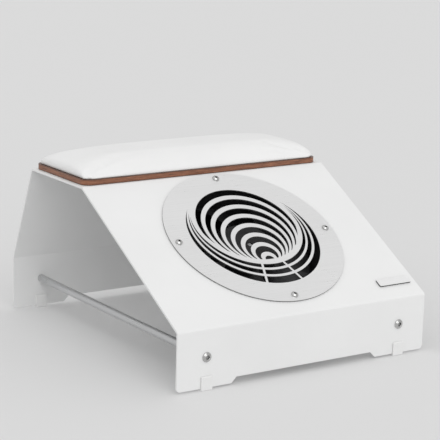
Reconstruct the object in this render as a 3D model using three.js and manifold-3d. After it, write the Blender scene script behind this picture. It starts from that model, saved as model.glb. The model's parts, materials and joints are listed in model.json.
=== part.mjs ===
// Table-top nail dust collector: a bent sheet-metal hand rest, open on both sides, with a suction fan
// under its sloping front, a round laser-cut grille over the fan, a padded armrest on the flat top,
// and a dust bag under the fan. The mains inlet and the rocker switch are at the back.
//
// Millimetres, +Z up. The skirt with the two front screws faces -Y. The origin is on the table, at the
// middle of the footprint. Pieces are placed from the sheet: X from its middle, Y from the outer face
// of its front skirt, Z from its lower edge.
import * as THREE from "three";
import { mergeVertices } from "three/addons/utils/BufferGeometryUtils.js";
import Module from "manifold-3d";

// Sheet
const width = 294;
const depth = 328;
const topHeight = 160;
const topFrontY = 180;
const topRearY = 286;
const frontSkirtHeight = 57.5;
const rearSkirtHeight = 56;
const sheet = 2;
const bendRadius = 3.5;
const cornerRadius = 4;
const notchHalfWidth = 86;
const notchHeight = 5.7;
const footLift = 2.2;
const gap = 0.3;

// Tie rods and their screws
const rodX = 114.5;
const rodZ = 30;
const rodRadius = 4;
const rodBore = 2.7;
const rodBoreDepth = 16;
const rodScrewHole = 3.3;

// Armrest
const boardThickness = 5.5;
const boardInset = 4;
const boardFrontY = 182;
const boardRearY = 286;
const boardCorner = 10;
const cushionInset = 0.5;
const cushionEdge = 3;
const cushionCrown = 19.4;
const armrestScrewX = 100;
const armrestScrewY = 30;
const armrestMiddle = (boardFrontY + boardRearY) / 2;

// Grille, seen square on; its centre lies this far right of the middle and up the slope
const grilleX = 2;
const grilleUp = 110.5;
const grilleTurn = THREE.MathUtils.degToRad(-2);
const grilleRadius = 95;
const grilleThickness = 1.2;
const grilleScrewCircle = 87;
const ringCount = 8;
const firstRingRadius = 54.9;
const ringStep = 3.56;
const ringFoot = -41.6;
const ringFootOverlap = 0.7;
const cradleRadius = 56;
const cradleY = 20.4;
const crescents = [
  { tipX: 55, tipY: 45, outerLow: -69.6, innerLow: -60.3 },
  { tipX: 56, tipY: 40, outerLow: -57.2, innerLow: -50.6 },
  { tipX: 57, tipY: 35, outerLow: -47.6, innerLow: -42.4 },
];
const bridgeAngle = THREE.MathUtils.degToRad(17);
const bridgeWidth = 2.4;

// Blank nameplate, from the grille's centre
const nameplateX = 118.5;
const nameplateY = -88.9;
const nameplateHalfX = 19.5;
const nameplateHalfY = 4.6;
const nameplateThickness = 1.4;

// Fan, along the slope's normal; levels are below the outer face of the slope
const airRadius = 73;
const ductOuter = 76.5;
const flangeRadius = 82;
const earRadius = 8;
const gasketTop = -sheet - gap;
const gasketBottom = -4.3;
const flangeTop = gasketBottom - gap;
const flangeBottom = -8.1;
const ductBottom = -52;
const strutTop = -48;
const motorBaseRadius = 27;
const bladeCount = 7;
const bladeTipRadius = 70.4;
const hubRadius = 31;
const hubTop = -11;
const hubBottom = -44;
const shaftRadius = 2.5;
const bearingRadius = 6.2;
const bearingTubeRadius = 8;
const bearingTubeTop = -18;
const bagRadius = 82;
const bagTop = -43;
const bagWaist = -62;
const bagBottom = -84;
const bagBaseRadius = 58;
const bagCloth = 1.6;
const bagSides = 32;
const airSides = 40;
const terminalReach = 90;

// Rear electrics
const inletX = 76;
const inletZ = 32;
const inletScrews = [-20, 20];
const switchX = 76;
const switchUp = 32;
const inletHalfX = 13.4;
const inletHalfY = 9.9;
const switchHalfLength = 9.5;
const switchHalfWidth = 6.5;
const rockerTilt = THREE.MathUtils.degToRad(9);
const pivotLevel = 0.5;

// Clearance holes, as radii
const m4Hole = 2.4;
const m3Hole = 1.8;

// Leads inside, held by clips
const leadRadius = 2.5;
const leadSides = 8;
const leadDepth = 5.1;
const leadEnd = -15.7;
const terminalAngle = Math.PI / 4;
const topClips = [228, 262];
const clipX = 79;
const backClipUp = 50;

const wasm = await Module();
wasm.setup();

// ---------------------------------------------------------------- solids

// A closed mesh as a solid: the shared corners are merged and collapsed faces dropped.
function solidOf(geometry) {
  const bare = new THREE.BufferGeometry();
  const source = geometry.index ? geometry.toNonIndexed() : geometry;
  bare.setAttribute("position", source.getAttribute("position").clone());
  const merged = mergeVertices(bare, 1e-4);
  const corners = merged.index.array;
  const faces = [];
  for (let i = 0; i < corners.length; i += 3) {
    const [a, b, c] = corners.slice(i, i + 3);
    if (a !== b && b !== c && c !== a) faces.push(a, b, c);
  }
  const mesh = new wasm.Mesh({
    numProp: 3,
    vertProperties: new Float32Array(merged.attributes.position.array),
    triVerts: new Uint32Array(faces),
  });
  const made = new wasm.Manifold(mesh);
  if (made.volume() > 0) return made;
  mesh.triVerts = new Uint32Array(faces).reverse();
  return new wasm.Manifold(mesh);
}

function geometryOf(solid) {
  const mesh = solid.getMesh();
  const made = new THREE.BufferGeometry();
  made.setAttribute("position", new THREE.BufferAttribute(new Float32Array(mesh.vertProperties), 3));
  made.setIndex(new THREE.BufferAttribute(new Uint32Array(mesh.triVerts), 1));
  made.computeVertexNormals();
  return made;
}

function cut(base, ...tools) {
  let solid = solidOf(base);
  for (const tool of tools) solid = solid.subtract(solidOf(tool));
  return geometryOf(solid);
}

function join(...pieces) {
  let solid = solidOf(pieces[0]);
  for (const piece of pieces.slice(1)) solid = solid.add(solidOf(piece));
  return geometryOf(solid);
}

function common(first, second) {
  return geometryOf(solidOf(first).intersect(solidOf(second)));
}

// ---------------------------------------------------------------- basic shapes

function box(low, high) {
  const size = high.map((value, i) => value - low[i]);
  const made = new THREE.BoxGeometry(...size);
  return made.translate(...low.map((value, i) => value + size[i] / 2));
}

// A body turned about Z, from a profile of [radius, z] that starts and ends on the axis or closes.
function turned(profile, sides) {
  const points = profile.map(([radius, z]) => new THREE.Vector2(radius, z));
  return new THREE.LatheGeometry(points, sides).rotateX(Math.PI / 2);
}

function disc(radius, bottom, top, sides = 24) {
  const made = new THREE.CylinderGeometry(radius, radius, top - bottom, sides);
  return made.rotateX(Math.PI / 2).translate(0, 0, (bottom + top) / 2);
}

function ring(outer, inner, bottom, top, sides) {
  return turned([[inner, bottom], [outer, bottom], [outer, top], [inner, top], [inner, bottom]], sides);
}

function shapeOf(points) {
  return new THREE.Shape(points.map(([x, y]) => new THREE.Vector2(x, y)));
}

function plate(shape, bottom, top, curveSegments = 6) {
  const made = new THREE.ExtrudeGeometry(shape, { depth: top - bottom, bevelEnabled: false, curveSegments });
  return made.translate(0, 0, bottom);
}

// A prism along X from a shape drawn in Y and Z.
function prismAlongX(shape, left, right) {
  const turn = new THREE.Matrix4().makeBasis(
    new THREE.Vector3(0, 1, 0),
    new THREE.Vector3(0, 0, 1),
    new THREE.Vector3(1, 0, 0),
  );
  return plate(shape, left, right).applyMatrix4(turn);
}

// A prism along Y from a shape drawn in X and Z.
function prismAlongY(shape, front, rear) {
  return plate(shape, -rear, -front).rotateX(Math.PI / 2);
}

function roundedRectangle(halfX, halfY, radius) {
  const shape = new THREE.Shape();
  shape.moveTo(halfX, -halfY + radius);
  shape.absarc(halfX - radius, halfY - radius, radius, 0, Math.PI / 2);
  shape.absarc(-halfX + radius, halfY - radius, radius, Math.PI / 2, Math.PI);
  shape.absarc(-halfX + radius, -halfY + radius, radius, Math.PI, 1.5 * Math.PI);
  shape.absarc(halfX - radius, -halfY + radius, radius, 1.5 * Math.PI, 2 * Math.PI);
  return shape;
}

function hexagon(acrossFlats, bottom, top) {
  return disc(acrossFlats / Math.sqrt(3), bottom, top, 6);
}

// A closed skin through rings of points, from the lowest to the highest, all with the same count.
function loft(levels) {
  const count = levels[0].length;
  const corners = levels.flatMap((ringPoints) => ringPoints.flatMap((point) => point.toArray()));
  const faces = [];
  for (let level = 0; level + 1 < levels.length; level++) {
    for (let i = 0; i < count; i++) {
      const a = level * count + i;
      const b = level * count + ((i + 1) % count);
      faces.push(a, b, b + count, a, b + count, a + count);
    }
  }
  const last = (levels.length - 1) * count;
  for (let i = 1; i + 1 < count; i++) faces.push(0, i + 1, i, last, last + i, last + i + 1);
  const made = new THREE.BufferGeometry();
  made.setAttribute("position", new THREE.Float32BufferAttribute(corners, 3));
  made.setIndex(faces);
  return made;
}

// A round rod of small section bent along a smooth route.
function tube(route, radius, sides, steps) {
  const section = new THREE.Shape();
  section.absarc(0, 0, radius, 0, 2 * Math.PI);
  const extrudePath = new THREE.CatmullRomCurve3(route.map((p) => new THREE.Vector3(...p)));
  return new THREE.ExtrudeGeometry(section, { steps, curveSegments: sides / 2, extrudePath });
}

// ---------------------------------------------------------------- materials and scene graph

function finish(color, roughness, metalness) {
  return new THREE.MeshStandardMaterial({ color, roughness, metalness });
}

const powderCoat = finish(0xebedec, 0.55, 0);
const brushedSteel = finish(0xc9c9c7, 0.35, 1);
const satinAluminium = finish(0xdededd, 0.4, 1);
const rodSteel = finish(0xa9abad, 0.3, 1);
const screwSteel = finish(0xb4b4b2, 0.25, 1);
const stainedWood = finish(0x8f6148, 0.5, 0);
const leather = finish(0xebe9e6, 0.6, 0);
const whitePlastic = finish(0xe4e5e4, 0.5, 0);
const blackPlastic = finish(0x151516, 0.5, 0);
const foam = finish(0x222224, 0.95, 0);
const copper = finish(0x9c5a34, 0.4, 1);
const brass = finish(0xb08d4a, 0.35, 1);
const wovenCloth = finish(0x6d7072, 0.95, 0);
const rubber = finish(0x1c1c1d, 0.8, 0);

const stand = new THREE.Group();
stand.position.set(0, -depth / 2, footLift);

function add(parent, name, geometry, material, x = 0, y = 0, z = 0) {
  const mesh = new THREE.Mesh(geometry, material);
  mesh.name = name;
  mesh.position.set(x, y, z);
  parent.add(mesh);
  return mesh;
}

// A group whose own axes lie on a panel: X across it, Y up it, Z out of its outer face.
function panelGroup(matrix) {
  const group = new THREE.Group();
  group.applyMatrix4(matrix);
  stand.add(group);
  return group;
}

function panelMatrix(origin, across, up) {
  const out = new THREE.Vector3().crossVectors(across, up);
  return new THREE.Matrix4().makeBasis(across, up, out).setPosition(origin);
}

const slopeUp = new THREE.Vector3(0, topFrontY, topHeight - frontSkirtHeight).normalize();
const slopeMatrix = panelMatrix(
  new THREE.Vector3(grilleX, 0, frontSkirtHeight).addScaledVector(slopeUp, grilleUp),
  new THREE.Vector3(1, 0, 0),
  slopeUp,
);
const backUp = new THREE.Vector3(0, topRearY - depth, topHeight - rearSkirtHeight).normalize();
const backMatrix = panelMatrix(
  new THREE.Vector3(switchX, depth, rearSkirtHeight).addScaledVector(backUp, switchUp),
  new THREE.Vector3(-1, 0, 0),
  backUp,
);
const slope = panelGroup(slopeMatrix);
const back = panelGroup(backMatrix);

const sides = [
  { name: "left", x: -1 },
  { name: "right", x: 1 },
];
const ends = [
  { name: "front", face: 0, out: -1 },
  { name: "rear", face: depth, out: 1 },
];
const armrestScrewPlaces = sides.flatMap((side) =>
  [-1, 1].map((end) => [side.x * armrestScrewX, armrestMiddle + end * armrestScrewY]),
);
const grilleScrews = ["right", "top", "left", "bottom"].map((name, i) => {
  const angle = (i * Math.PI) / 2 + grilleTurn;
  return { name, x: grilleScrewCircle * Math.cos(angle), y: grilleScrewCircle * Math.sin(angle) };
});

// ---------------------------------------------------------------- fasteners

// A low-domed screw with a hexagon socket, its head's seat at z = 0 and its shank pointing down.
function domeScrew({ head, height, shank, length, socket }) {
  const profile = [
    [0, -length],
    [shank, -length],
    [shank, 0],
    [head, 0],
    [head, 0.25 * height],
    [0.62 * head, height],
    [0, height],
  ];
  return cut(turned(profile, 12), hexagon(socket, 0.4 * height, height + 1));
}

function hexNut(acrossFlats, hole, thickness) {
  return cut(hexagon(acrossFlats, -thickness, 0), disc(hole, -thickness - 1, 1, 10));
}

// ---------------------------------------------------------------- sheet

// The corner of an outline, rounded by an arc that runs from one leg to the other.
function roundedCorner(before, corner, after, radius, steps) {
  const toBefore = before.clone().sub(corner).normalize();
  const toAfter = after.clone().sub(corner).normalize();
  const half = Math.acos(toBefore.dot(toAfter)) / 2;
  const middle = toBefore.clone().add(toAfter).normalize();
  const centre = corner.clone().addScaledVector(middle, radius / Math.sin(half));
  const start = corner.clone().addScaledVector(toBefore, radius / Math.tan(half)).sub(centre);
  const end = corner.clone().addScaledVector(toAfter, radius / Math.tan(half)).sub(centre);
  const sweep = start.angle() - end.angle();
  const turn = Math.atan2(Math.sin(-sweep), Math.cos(-sweep));
  return Array.from({ length: steps + 1 }, (_, i) =>
    start.clone().rotateAround(new THREE.Vector2(), (turn * i) / steps).add(centre),
  );
}

function offsetLine(points, distance) {
  const normals = points.slice(1).map((point, i) => {
    const along = point.clone().sub(points[i]).normalize();
    return new THREE.Vector2(along.y, -along.x);
  });
  return points.map((point, i) => {
    const first = normals[Math.max(i - 1, 0)];
    const second = normals[Math.min(i, normals.length - 1)];
    const miter = first.clone().add(second).normalize();
    return point.clone().addScaledVector(miter, distance / miter.dot(first));
  });
}

function roundedLine(points, radius) {
  const inside = points.slice(1, -1).flatMap((corner, i) =>
    roundedCorner(points[i], corner, points[i + 2], radius, 4),
  );
  return [points[0], ...inside, points[points.length - 1]];
}

function sheetProfile() {
  const outer = [
    new THREE.Vector2(0, 0),
    new THREE.Vector2(0, frontSkirtHeight),
    new THREE.Vector2(topFrontY, topHeight),
    new THREE.Vector2(topRearY, topHeight),
    new THREE.Vector2(depth, rearSkirtHeight),
    new THREE.Vector2(depth, 0),
  ];
  const outside = roundedLine(outer, bendRadius);
  const inside = roundedLine(offsetLine(outer, sheet), bendRadius - sheet);
  return new THREE.Shape([...outside, ...inside.reverse()]);
}

function skirtNotch() {
  const halfTop = notchHalfWidth - notchHeight;
  const overrun = 1;
  return shapeOf([
    [-notchHalfWidth - overrun, -overrun],
    [notchHalfWidth + overrun, -overrun],
    [halfTop, notchHeight],
    [-halfTop, notchHeight],
  ]);
}

// What is cut off a skirt's lower corner to round it.
function cornerOffcut(side) {
  const edge = width / 2;
  const steps = 5;
  const overrun = 1;
  const arc = Array.from({ length: steps + 1 }, (_, i) => {
    const angle = (i / steps) * (Math.PI / 2);
    const x = edge - cornerRadius + cornerRadius * Math.cos(angle);
    return [side * x, cornerRadius - cornerRadius * Math.sin(angle)];
  });
  return shapeOf([
    ...arc,
    [side * (edge - cornerRadius), -overrun],
    [side * (edge + overrun), -overrun],
    [side * (edge + overrun), cornerRadius],
  ]);
}

// A drill along Y, from front to rear.
function drillAlongY(radius, x, z, front, rear, sides) {
  return disc(radius, front, rear, sides).rotateX(-Math.PI / 2).translate(x, 0, z);
}

function bodyShell() {
  const reach = 5;
  const rear = depth + reach;
  const m4Drill = disc(m4Hole, -reach, reach, 8);
  const switchWide = switchHalfWidth + gap;
  const switchLong = switchHalfLength + gap;
  const inletCut = roundedRectangle(inletHalfX + 0.4, inletHalfY + 0.4, 2);
  const through = [
    prismAlongY(skirtNotch(), -reach, rear),
    ...sides.map((side) => prismAlongY(cornerOffcut(side.x), -reach, rear)),
    ...sides.map((side) => drillAlongY(rodScrewHole, side.x * rodX, rodZ, -reach, rear, 10)),
    ...inletScrews.map((x) => drillAlongY(m3Hole, inletX + x, inletZ, depth - reach, rear, 8)),
    disc(airRadius, -reach, reach, airSides).applyMatrix4(slopeMatrix),
    ...grilleScrews.map(({ x, y }) => m4Drill.clone().translate(x, y, 0).applyMatrix4(slopeMatrix)),
    ...armrestScrewPlaces.map(([x, y]) => m4Drill.clone().translate(x, y, topHeight)),
    box([-switchWide, -switchLong, -reach], [switchWide, switchLong, reach]).applyMatrix4(backMatrix),
    prismAlongY(inletCut, depth - reach, rear).translate(inletX, 0, inletZ),
  ];
  return cut(prismAlongX(sheetProfile(), -width / 2, width / 2), ...through);
}

function buildSheet() {
  add(stand, "body_shell", bodyShell(), powderCoat);
  const outline = roundedRectangle(nameplateHalfX, nameplateHalfY, 1);
  const nameplate = plate(outline, gap, gap + nameplateThickness, 3);
  add(slope, "nameplate", nameplate, satinAluminium, nameplateX, nameplateY);
}

// ---------------------------------------------------------------- tie rods and feet

function tieRod() {
  const length = depth - 2 * sheet - 2 * gap;
  const profile = [
    [0, rodBoreDepth],
    [rodBore, rodBoreDepth],
    [rodBore, 0],
    [rodRadius, 0],
    [rodRadius, length],
    [rodBore, length],
    [rodBore, length - rodBoreDepth],
    [0, length - rodBoreDepth],
  ];
  return turned(profile, 16).rotateX(-Math.PI / 2);
}

// A U-shaped clip that grips the lower edge of a skirt whose outer face is at y = 0.
function footClip(face, out) {
  const halfWidth = 6.2;
  const wall = 1.6;
  const height = 11.6;
  const outerFace = gap + wall;
  const innerFace = -sheet - gap - wall;
  const profile = [
    [outerFace - 0.6, -footLift],
    [innerFace + 0.6, -footLift],
    [innerFace, -footLift + 0.6],
    [innerFace, height - 1],
    [innerFace + 1, height],
    [-sheet - gap, height],
    [-sheet - gap, -gap],
    [gap, -gap],
    [gap, height],
    [outerFace - 0.8, height],
    [outerFace, height - 0.8],
    [outerFace, -footLift + 0.6],
  ];
  const shape = shapeOf(profile.map(([y, z]) => [face + out * y, z]));
  return prismAlongX(shape, -halfWidth, halfWidth);
}

function buildRodsAndFeet() {
  const screw = domeScrew({ head: 4.9, height: 2.2, shank: 2.4, length: 15, socket: 4 });
  for (const side of sides) {
    add(stand, `tie_rod_${side.name}`, tieRod(), rodSteel, side.x * rodX, sheet + gap, rodZ);
    for (const end of ends) {
      const outward = screw.clone().rotateX((-end.out * Math.PI) / 2);
      const seat = end.face + end.out * 0.1;
      add(stand, `rod_screw_${end.name}_${side.name}`, outward, screwSteel, side.x * rodX, seat, rodZ);
      add(stand, `foot_${end.name}_${side.name}`, footClip(end.face, end.out), whitePlastic, side.x * rodX);
    }
  }
}

// ---------------------------------------------------------------- armrest

function armrestOutline(inset) {
  const halfX = width / 2 - boardInset - inset;
  const halfY = (boardRearY - boardFrontY) / 2 - inset;
  const points = roundedRectangle(halfX, halfY, boardCorner).getPoints(4).slice(0, -1);
  return { halfX, halfY, points };
}

// A low pillow: its height falls off towards the ends over a longer stretch than towards the sides.
function cushion() {
  const { halfX, halfY, points } = armrestOutline(cushionInset);
  const crown = (x, y) => {
    const lengthwise = (1 - Math.abs(x / halfX) ** 4) ** 0.3;
    const across = (1 - Math.abs(y / halfY) ** 4.6) ** 1.5;
    return cushionEdge + (cushionCrown - cushionEdge) * lengthwise * across;
  };
  const ringAt = (share, heightAt) =>
    points.map(({ x, y }) => new THREE.Vector3(x * share, y * share, heightAt(x * share, y * share)));
  return loft([
    ringAt(0.996, () => 0),
    ringAt(1, () => 1),
    ringAt(1, () => cushionEdge),
    ...[0.975, 0.92, 0.82, 0.66, 0.45, 0.2].map((share) => ringAt(share, crown)),
  ]);
}

function buildArmrest() {
  const boardBottom = topHeight + gap;
  const boardTop = boardBottom + boardThickness;
  const outline = new THREE.Shape(armrestOutline(0).points);
  const pilots = armrestScrewPlaces.map(([x, y]) => disc(1.9, -1, 4.5, 8).translate(x, y - armrestMiddle, 0));
  const board = cut(plate(outline, 0, boardThickness), ...pilots);
  add(stand, "armrest_board", board, stainedWood, 0, armrestMiddle, boardBottom);
  add(stand, "armrest_cushion", cushion(), leather, 0, armrestMiddle, boardTop + gap);
  const screw = domeScrew({ head: 4, height: 2.4, shank: 1.6, length: 6, socket: 2.5 }).rotateX(Math.PI);
  armrestScrewPlaces.forEach(([x, y], i) => {
    add(stand, `armrest_screw_${i + 1}`, screw, screwSteel, x, y, topHeight - sheet - 0.1);
  });
}

// ---------------------------------------------------------------- grille

function roundSides(radius) {
  return Math.max(16, Math.round(radius * 0.6));
}

function grilleDisc(radius, y) {
  return disc(radius, -3, 3, roundSides(radius)).translate(0, y, 0);
}

// The opening between two rings of the nest, which nearly touch at their feet, trimmed by the cradle.
function nestOpening(index) {
  const outer = firstRingRadius - 2 * index * ringStep;
  const inner = outer - ringStep;
  const sickle = cut(
    grilleDisc(outer, ringFoot + ringFootOverlap + outer),
    grilleDisc(inner, ringFoot - ringFootOverlap + inner),
  );
  return common(sickle, grilleDisc(cradleRadius, cradleY));
}

// The disc whose rim passes through both tips and the low point on the middle line.
function discThroughTips(tipX, tipY, low) {
  const centre = (tipX ** 2 + tipY ** 2 - low ** 2) / (2 * (tipY - low));
  return grilleDisc(centre - low, centre);
}

function lowerOpening({ tipX, tipY, outerLow, innerLow }) {
  const bridges = [-1, 1].map((side) =>
    box([-bridgeWidth / 2, -grilleRadius, -5], [bridgeWidth / 2, 0, 5]).rotateZ(side * bridgeAngle),
  );
  return cut(discThroughTips(tipX, tipY, outerLow), discThroughTips(tipX, tipY, innerLow), ...bridges);
}

function grillePlate() {
  const openings = [
    ...Array.from({ length: ringCount }, (_, index) => nestOpening(index)),
    ...crescents.map(lowerOpening),
  ].map((opening) => opening.rotateZ(grilleTurn));
  const holes = grilleScrews.map((place) => disc(2.2, -3, 3, 8).translate(place.x, place.y, 0));
  return cut(disc(grilleRadius, 0, grilleThickness, 72), ...openings, ...holes);
}

function buildGrille() {
  add(slope, "grille_plate", grillePlate(), brushedSteel, 0, 0, gap);
  const head = gap + grilleThickness + 0.1;
  const screw = domeScrew({ head: 3.7, height: 2.3, shank: 1.9, length: 14.5, socket: 2.5 });
  const nut = hexNut(7, 2.2, 3.2);
  for (const { name, x, y } of grilleScrews) {
    add(slope, `grille_screw_${name}`, screw, screwSteel, x, y, head);
    add(slope, `grille_nut_${name}`, nut, screwSteel, x, y, flangeBottom - gap);
  }
}

// ---------------------------------------------------------------- fan

// A ring with an ear and a hole at each grille screw.
function earedRing(outer, inner, bottom, top) {
  const ears = grilleScrews.map(({ x, y }) => disc(earRadius, bottom, top, 16).translate(x, y, 0));
  const holes = grilleScrews.map(({ x, y }) => disc(m4Hole, bottom - 1, top + 1, 8).translate(x, y, 0));
  const bore = disc(inner, bottom - 1, top + 1, airSides);
  return cut(join(disc(outer, bottom, top, airSides), ...ears), bore, ...holes);
}

function fanHousing() {
  const flange = earedRing(flangeRadius, airRadius, flangeBottom, flangeTop);
  return join(flange, ring(ductOuter, airRadius, ductBottom, flangeBottom + 1, airSides));
}

// The spider that holds the motor in the duct: three struts and the tube that the bearings sit in.
function motorMount() {
  const reach = airRadius - gap;
  const struts = [0, 1, 2].map((i) =>
    box([motorBaseRadius - 3, -3, ductBottom], [reach, 3, strutTop]).rotateZ((i * 2 * Math.PI) / 3 + 0.5),
  );
  const bearingTube = turned(
    [
      [bearingRadius + gap, ductBottom - 1],
      [motorBaseRadius, ductBottom - 1],
      [motorBaseRadius, strutTop],
      [bearingTubeRadius, strutTop],
      [bearingTubeRadius, bearingTubeTop],
      [bearingRadius + gap, bearingTubeTop],
      [bearingRadius + gap, ductBottom - 1],
    ],
    24,
  );
  return join(bearingTube, ...struts);
}

// One curved, twisted blade, thin across its face, from the hub wall to the duct.
function fanBlade() {
  const radialSteps = 3;
  const chordSteps = 4;
  const thickness = 1.8;
  const root = hubRadius - 1;
  const front = -14.5;
  const point = (i, j, lift) => {
    const radius = root + ((bladeTipRadius - root) * i) / radialSteps;
    const along = j / chordSteps;
    const drop = 27 - (11 * i) / radialSteps;
    const sweep = 0.18 * (i / radialSteps) ** 2;
    const angle = sweep - 0.68 * along;
    const z = front - drop * (along ** 1.25) + lift - 2.5 * (i / radialSteps);
    return [radius * Math.cos(angle), radius * Math.sin(angle), z];
  };
  const count = (radialSteps + 1) * (chordSteps + 1);
  const corners = [];
  for (const lift of [0, -thickness]) {
    for (let i = 0; i <= radialSteps; i++) {
      for (let j = 0; j <= chordSteps; j++) corners.push(...point(i, j, lift));
    }
  }
  const at = (i, j, layer) => layer * count + i * (chordSteps + 1) + j;
  const faces = [];
  const quad = (a, b, c, d) => faces.push(a, b, c, a, c, d);
  for (let i = 0; i < radialSteps; i++) {
    for (let j = 0; j < chordSteps; j++) {
      quad(at(i, j, 0), at(i, j + 1, 0), at(i + 1, j + 1, 0), at(i + 1, j, 0));
      quad(at(i, j, 1), at(i + 1, j, 1), at(i + 1, j + 1, 1), at(i, j + 1, 1));
    }
    quad(at(i, 0, 0), at(i + 1, 0, 0), at(i + 1, 0, 1), at(i, 0, 1));
    quad(at(i, chordSteps, 0), at(i, chordSteps, 1), at(i + 1, chordSteps, 1), at(i + 1, chordSteps, 0));
  }
  for (let j = 0; j < chordSteps; j++) {
    quad(at(0, j, 0), at(0, j, 1), at(0, j + 1, 1), at(0, j + 1, 0));
    quad(at(radialSteps, j, 0), at(radialSteps, j + 1, 0), at(radialSteps, j + 1, 1), at(radialSteps, j, 1));
  }
  const made = new THREE.BufferGeometry();
  made.setAttribute("position", new THREE.Float32BufferAttribute(corners, 3));
  made.setIndex(faces);
  return made;
}

function fanRotor() {
  const wall = 2;
  const hub = turned(
    [
      [shaftRadius + gap, hubTop],
      [shaftRadius + gap, hubTop - 6],
      [shaftRadius + 3, hubTop - 6],
      [shaftRadius + 3, hubTop - wall],
      [hubRadius - wall, hubTop - wall],
      [hubRadius - wall, hubBottom],
      [hubRadius, hubBottom],
      [hubRadius, hubTop - 3],
      [hubRadius - 3, hubTop],
      [shaftRadius + gap, hubTop],
    ],
    28,
  );
  const step = (2 * Math.PI) / bladeCount;
  return join(hub, ...Array.from({ length: bladeCount }, (_, i) => fanBlade().rotateZ(i * step)));
}

function outletGuard() {
  const top = ductBottom - 1 - gap;
  const bottom = top - 2;
  const bar = 1.2;
  const arm = box([10, -bar, bottom], [76, bar, top]).rotateZ(0.3);
  const arms = [0, 1, 2, 3].map((i) => arm.clone().rotateZ((i * Math.PI) / 2));
  const rim = ring(79, 74.5, bottom, top, airSides);
  return join(rim, disc(14, bottom, top, 16), ring(45 + bar, 45 - bar, bottom, top, 24), ...arms);
}

// The bag's side panel, a tapering sleeve of cloth over the outlet; the base is sewn to its lower end.
function bagSleeve() {
  const outer = [
    [bagBaseRadius + bagCloth, bagBottom],
    [bagRadius, bagWaist],
    [bagRadius - 0.6, bagTop],
  ];
  const inner = outer.map(([radius, z]) => [radius - bagCloth, z]).reverse();
  return turned([...outer, ...inner, outer[0]], bagSides);
}

function bagBase() {
  return disc(bagBaseRadius - gap, bagBottom, bagBottom + bagCloth, bagSides);
}

function buildFan() {
  add(slope, "fan_gasket", earedRing(flangeRadius, airRadius + 0.5, gasketBottom, gasketTop), foam);
  add(slope, "fan_housing", fanHousing(), blackPlastic);
  add(slope, "motor_mount", motorMount(), blackPlastic);
  add(slope, "fan_stator", ring(22, bearingTubeRadius + gap, -46, -25, 24), copper);
  for (const [name, top] of [["upper", -19], ["lower", -46]]) {
    add(slope, `fan_bearing_${name}`, ring(bearingRadius, shaftRadius + gap, top - 4, top, 16), screwSteel);
  }
  add(slope, "fan_shaft", disc(shaftRadius, -51.5, hubTop - 0.5, 16), rodSteel);
  add(slope, "fan_rotor", fanRotor(), blackPlastic);
  add(slope, "fan_magnet_ring", ring(hubRadius - 2 - 2 * gap, 24.5, -42, -22, 28), rubber);
  add(slope, "outlet_guard", outletGuard(), blackPlastic);
  add(slope, "bag_band", ring(79.4, ductOuter + gap, -50, -44, airSides), rubber);
  add(slope, "dust_bag", bagSleeve(), wovenCloth);
  add(slope, "bag_base", bagBase(), wovenCloth);
}

// ---------------------------------------------------------------- rear electrics

// Drawn with its front flange facing +Z, its long side across X.
function inletBody() {
  const flange = plate(roundedRectangle(25, 11.5, 3), gap, 1.8, 4);
  const casing = plate(roundedRectangle(inletHalfX, inletHalfY, 2), -22, 1, 3);
  const socket = plate(roundedRectangle(12, 8.2, 2), -14, 4, 3);
  const screwHoles = inletScrews.map((x) => disc(m3Hole, -1, 4, 8).translate(x, 0, 0));
  const pinHoles = inletPins().map(({ x, y }) => box([x - 1.3, y - 2.3, -21.5], [x + 1.3, y + 2.3, 0]));
  return cut(join(flange, casing), socket, ...screwHoles, ...pinHoles);
}

function inletPins() {
  return [
    { name: "line", x: -7, y: -2 },
    { name: "earth", x: 0, y: 2.5 },
    { name: "neutral", x: 7, y: -2 },
  ];
}

function buildInlet() {
  const place = new THREE.Vector3(inletX, depth, inletZ);
  const inlet = panelGroup(panelMatrix(place, new THREE.Vector3(-1, 0, 0), new THREE.Vector3(0, 0, 1)));
  add(inlet, "power_inlet", inletBody(), blackPlastic);
  for (const pin of inletPins()) {
    add(inlet, `inlet_pin_${pin.name}`, box([-1, -2, -21.2], [1, 2, -5]), brass, pin.x, pin.y);
  }
  const screw = domeScrew({ head: 2.8, height: 1.4, shank: 1.4, length: 8.5, socket: 2 });
  inletScrews.forEach((x, i) => {
    add(inlet, `inlet_screw_${i + 1}`, screw, screwSteel, x, 0, 1.9);
    add(inlet, `inlet_nut_${i + 1}`, hexNut(5.5, 1.7, 2.4), screwSteel, x, 0, -sheet - gap);
  });
}

function switchBody() {
  const flange = plate(roundedRectangle(11, 8, 1.6), gap, 2, 3);
  const casing = box([-switchHalfLength, -switchHalfWidth, -15], [switchHalfLength, switchHalfWidth, 1]);
  const well = box([-8.3, -5.3, -5], [8.3, 5.3, 3]);
  const pinHole = disc(1.2, -5.8, 5.8, 10).rotateX(Math.PI / 2).translate(0, 0, pivotLevel);
  return cut(join(flange, casing), well, pinHole);
}

function switchRocker() {
  const halfLength = 7.8;
  const profile = shapeOf([
    [-halfLength, -1.5],
    [-2.6, -2.6],
    [2.6, -2.6],
    [halfLength, -1.5],
    [halfLength, 1.4],
    [0, 1],
    [-halfLength, 1.4],
  ]);
  const paddle = prismAlongY(profile, -4.9, 4.9);
  const hole = disc(1.2, -7, 7, 10).rotateX(Math.PI / 2);
  return cut(paddle, hole).rotateY(rockerTilt);
}

function buildSwitch() {
  const turnedUpright = new THREE.Group();
  turnedUpright.rotation.z = Math.PI / 2;
  back.add(turnedUpright);
  add(turnedUpright, "switch_body", switchBody(), blackPlastic);
  add(turnedUpright, "switch_rocker", switchRocker(), blackPlastic, 0, 0, pivotLevel);
  const pin = disc(0.9, -5.7, 5.7, 10).rotateX(Math.PI / 2);
  add(turnedUpright, "switch_pin", pin, screwSteel, 0, 0, pivotLevel);
}

// ---------------------------------------------------------------- wiring

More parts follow.
